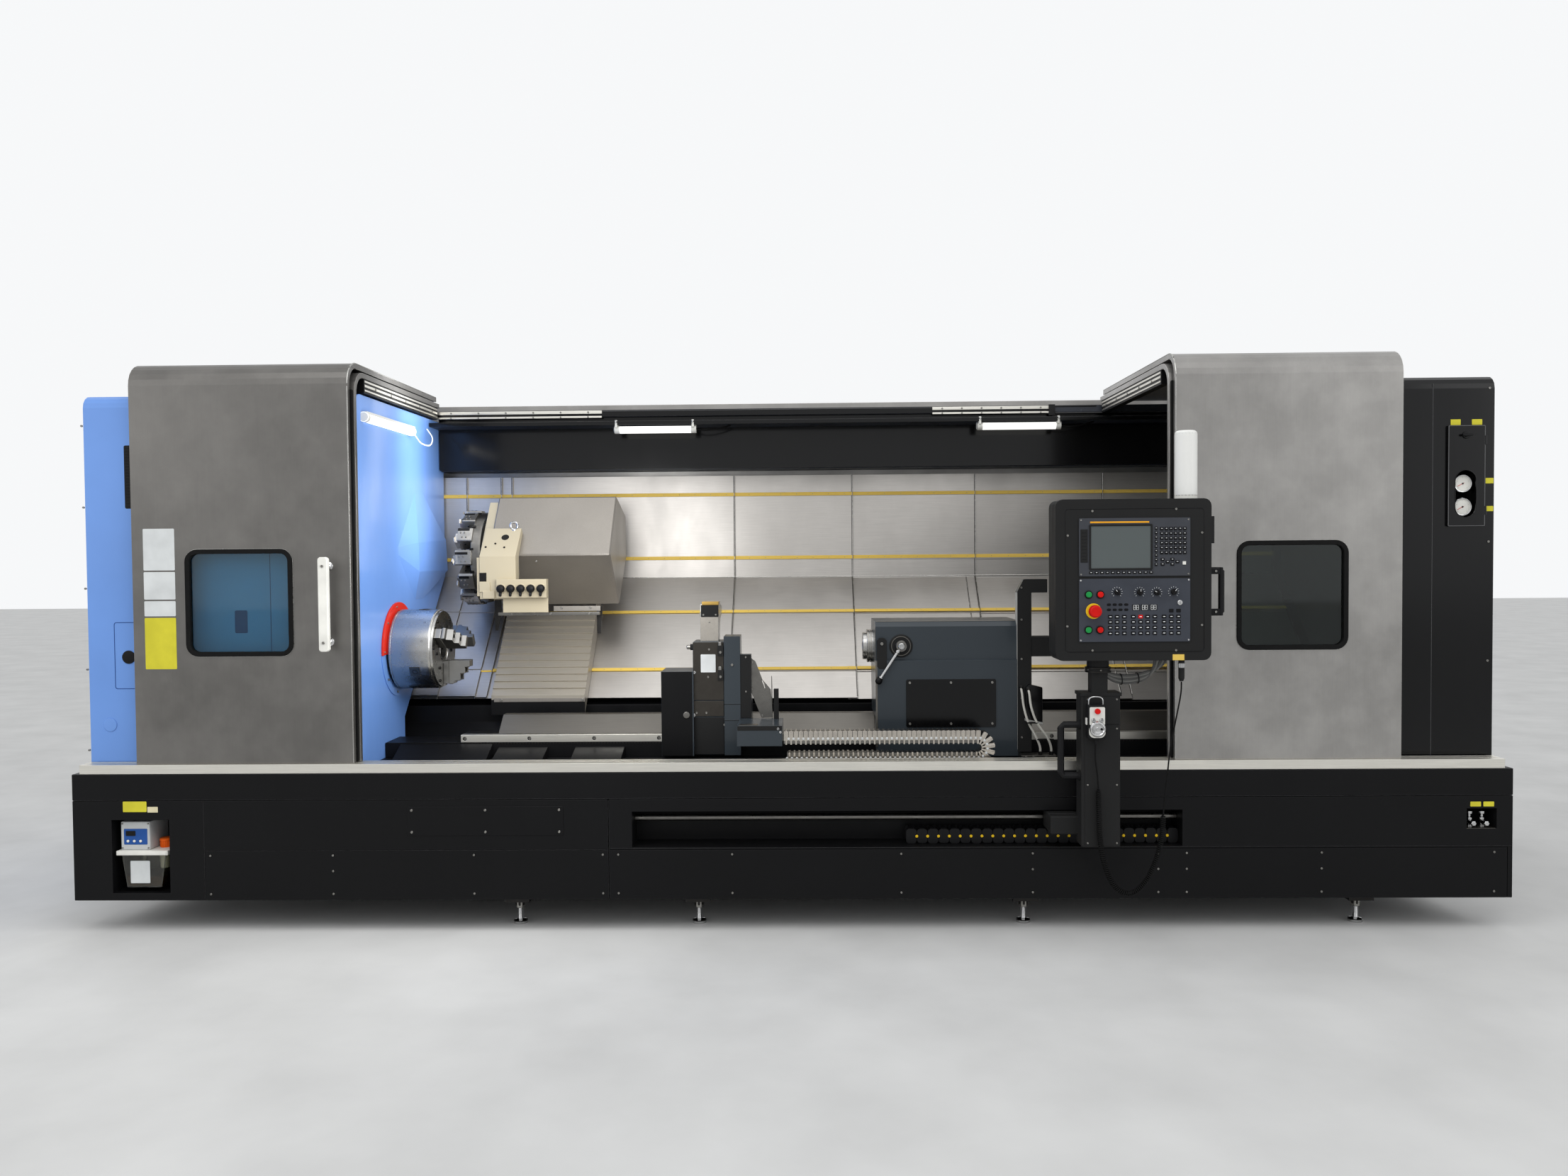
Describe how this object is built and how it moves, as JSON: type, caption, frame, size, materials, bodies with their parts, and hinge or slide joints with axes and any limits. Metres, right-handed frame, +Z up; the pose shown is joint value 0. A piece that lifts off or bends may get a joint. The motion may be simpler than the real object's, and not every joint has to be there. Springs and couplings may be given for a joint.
{
  "type": "cnc turning lathe",
  "caption": "Slant-bed CNC turning lathe with open sliding doors, chuck, turret, telescopic way covers, steady rest, tailstock and a travelling control pendant.",
  "frame": {"origin": "on the floor below the middle of the machine's length and depth", "axes": "+X along the spindle from the headstock to the tailstock, +Y from the doors to the back, +Z up"},
  "size_m": [5.54, 2.11, 2.215],
  "materials": {
    "stainless": "satin",
    "black_paint": "satin",
    "dark_casting": "satin",
    "blue_paint": "satin",
    "red_paint": "satin",
    "cream_paint": "satin",
    "bright_steel": "satin",
    "tinted_glass": "gloss",
    "white_plastic": "satin",
    "red_plastic": "gloss",
    "black_rubber": "matte"
  },
  "bodies": {
    "frame": {"base_casting": "dark_casting", "front_band": "black_paint", "left_skirt": "black_paint", "right_skirt": "black_paint", "door_rail": "stainless", "levelling_foot_1": "dark_casting", "levelling_foot_2": "dark_casting", "levelling_foot_3": "dark_casting", "levelling_foot_4": "dark_casting", "levelling_foot_5": "dark_casting", "levelling_foot_6": "dark_casting", "headstock_cover": "blue_paint", "headstock_wall": "blue_paint", "spindle_guard": "red_paint", "right_cabinet": "black_paint", "top_beam": "dark_casting", "rear_cover": "black_paint", "fixed_cover_left": "stainless", "fixed_cover_right": "stainless", "front_way": "stainless", "lubricator": "white_plastic", "guide_rod": "bright_steel", "cable_chain": "black_rubber", "drag_chain": "bright_steel"},
    "left_outer_leaf": {"left_outer_door": "stainless", "left_window": "tinted_glass", "left_door_handle": "white_plastic"},
    "left_inner_leaf": {"left_inner_door": "stainless"},
    "right_outer_leaf": {"right_outer_door": "stainless", "right_window": "tinted_glass"},
    "right_inner_leaf": {"right_inner_door": "stainless"},
    "spindle": {"chuck": "bright_steel"},
    "jaw_1": {"jaw_1": "bright_steel"},
    "jaw_2": {"jaw_2": "bright_steel"},
    "jaw_3": {"jaw_3": "bright_steel"},
    "carriage": {"saddle": "dark_casting", "saddle_cover": "stainless", "louvre_cover": "stainless"},
    "cross_slide": {"turret_housing": "stainless", "turret_mount": "cream_paint"},
    "turret": {"turret_disc": "dark_casting"},
    "left_cover_1": {"left_section_1": "stainless"},
    "left_cover_2": {"left_section_2": "stainless"},
    "right_cover_1": {"right_section_1": "stainless"},
    "right_cover_2": {"right_section_2": "stainless"},
    "right_cover_3": {"right_section_3": "stainless"},
    "steady": {"steady_rest": "dark_casting"},
    "steady_finger": {"steady_arm": "bright_steel"},
    "tailstock": {"tailstock": "dark_casting"},
    "quill": {"quill": "bright_steel"},
    "lever": {"clamp_lever": "bright_steel"},
    "pendant": {"pendant_post": "black_paint", "hand_unit": "black_rubber", "cord_lead_top": "black_rubber", "cord_curl": "black_rubber", "cord_lead_bottom": "black_rubber"},
    "panel": {"control_panel": "black_paint"},
    "stop_button": {"emergency_stop": "red_plastic"},
    "wheel": {"hand_wheel": "bright_steel"},
    "hatch": {"gauge_hatch": "black_paint"}
  },
  "joints": [
    {"name": "left_outer_slide", "type": "slide", "parent": "frame", "child": "left_outer_leaf", "axis": [1, 0, 0], "range_m": [0, 1.58]},
    {"name": "left_inner_slide", "type": "slide", "parent": "frame", "child": "left_inner_leaf", "axis": [1, 0, 0], "range_m": [0, 0.79]},
    {"name": "right_outer_slide", "type": "slide", "parent": "frame", "child": "right_outer_leaf", "axis": [-1, 0, 0], "range_m": [0, 1.58]},
    {"name": "right_inner_slide", "type": "slide", "parent": "frame", "child": "right_inner_leaf", "axis": [-1, 0, 0], "range_m": [0, 0.79]},
    {"name": "spindle_turn", "type": "hinge", "parent": "frame", "child": "spindle", "pos_m": [-1.57, -0.265, 1.06], "axis": [1, 0, 0], "continuous": true},
    {"name": "jaw_1_slide", "type": "slide", "parent": "spindle", "child": "jaw_1", "axis": [0, -0.866, 0.5], "range_m": [-0.005, 0.008]},
    {"name": "jaw_2_slide", "type": "slide", "parent": "spindle", "child": "jaw_2", "axis": [0, 0, -1], "range_m": [-0.005, 0.008]},
    {"name": "jaw_3_slide", "type": "slide", "parent": "spindle", "child": "jaw_3", "axis": [0, 0.866, 0.5], "range_m": [-0.005, 0.008]},
    {"name": "carriage_slide", "type": "slide", "parent": "frame", "child": "carriage", "axis": [1, 0, 0], "range_m": [-0.1, 1.9]},
    {"name": "cross_slide_feed", "type": "slide", "parent": "carriage", "child": "cross_slide", "axis": [0, -0.7071, -0.7071], "range_m": [0, 0.11]},
    {"name": "turret_index", "type": "hinge", "parent": "cross_slide", "child": "turret", "pos_m": [-1.41, 0.125, 1.45], "axis": [1, 0, 0], "continuous": true},
    {"name": "left_cover_1_slide", "type": "slide", "parent": "frame", "child": "left_cover_1", "axis": [1, 0, 0], "range_m": [-0.07, 1.27]},
    {"name": "left_cover_2_slide", "type": "slide", "parent": "frame", "child": "left_cover_2", "axis": [1, 0, 0], "range_m": [-0.04, 0.64]},
    {"name": "right_cover_1_slide", "type": "slide", "parent": "frame", "child": "right_cover_1", "axis": [1, 0, 0], "range_m": [-0.08, 1.43]},
    {"name": "right_cover_2_slide", "type": "slide", "parent": "frame", "child": "right_cover_2", "axis": [1, 0, 0], "range_m": [-0.06, 0.96]},
    {"name": "right_cover_3_slide", "type": "slide", "parent": "frame", "child": "right_cover_3", "axis": [1, 0, 0], "range_m": [-0.03, 0.48]},
    {"name": "steady_slide", "type": "slide", "parent": "frame", "child": "steady", "axis": [1, 0, 0], "range_m": [-0.6, 0.25], "deforming": ["drag_chain"]},
    {"name": "steady_finger_slide", "type": "slide", "parent": "steady", "child": "steady_finger", "axis": [0, 0, 1], "range_m": [0, 0.04]},
    {"name": "tailstock_slide", "type": "slide", "parent": "frame", "child": "tailstock", "axis": [1, 0, 0], "range_m": [-0.25, 0.9]},
    {"name": "quill_feed", "type": "slide", "parent": "tailstock", "child": "quill", "axis": [-1, 0, 0], "range_m": [0, 0.12]},
    {"name": "clamp_lever_turn", "type": "hinge", "parent": "tailstock", "child": "lever", "pos_m": [0.478, -0.495, 1.075], "axis": [0, 1, 0], "range_deg": [-20, 70]},
    {"name": "pendant_slide", "type": "slide", "parent": "frame", "child": "pendant", "axis": [1, 0, 0], "range_m": [-1.55, 0.15]},
    {"name": "panel_swivel", "type": "hinge", "parent": "pendant", "child": "panel", "pos_m": [1.172, -0.915, 1.027], "axis": [0, 0, 1], "range_deg": [-30, 10]},
    {"name": "stop_push", "type": "slide", "parent": "panel", "child": "stop_button", "axis": [0, 1, 0], "range_m": [0, 0.006], "stiffness_N_per_m": 1500},
    {"name": "hand_wheel_turn", "type": "hinge", "parent": "pendant", "child": "wheel", "pos_m": [1.152, -0.995, 0.806], "axis": [0, 1, 0], "continuous": true},
    {"name": "gauge_hatch_hinge", "type": "hinge", "parent": "frame", "child": "hatch", "pos_m": [2.707, -0.7053, 1.73], "axis": [0, 0, 1], "range_deg": [0, 110]}
  ],
  "couplings": [
    {"joint": "left_inner_slide", "follows": "left_outer_slide", "ratio": 0.5},
    {"joint": "right_inner_slide", "follows": "right_outer_slide", "ratio": 0.5},
    {"joint": "jaw_2_slide", "follows": "jaw_1_slide", "ratio": 1},
    {"joint": "jaw_3_slide", "follows": "jaw_1_slide", "ratio": 1},
    {"joint": "left_cover_1_slide", "follows": "carriage_slide", "ratio": 0.66667},
    {"joint": "left_cover_2_slide", "follows": "carriage_slide", "ratio": 0.33333},
    {"joint": "right_cover_1_slide", "follows": "carriage_slide", "ratio": 0.75},
    {"joint": "right_cover_2_slide", "follows": "carriage_slide", "ratio": 0.5},
    {"joint": "right_cover_3_slide", "follows": "carriage_slide", "ratio": 0.25}
  ]
}
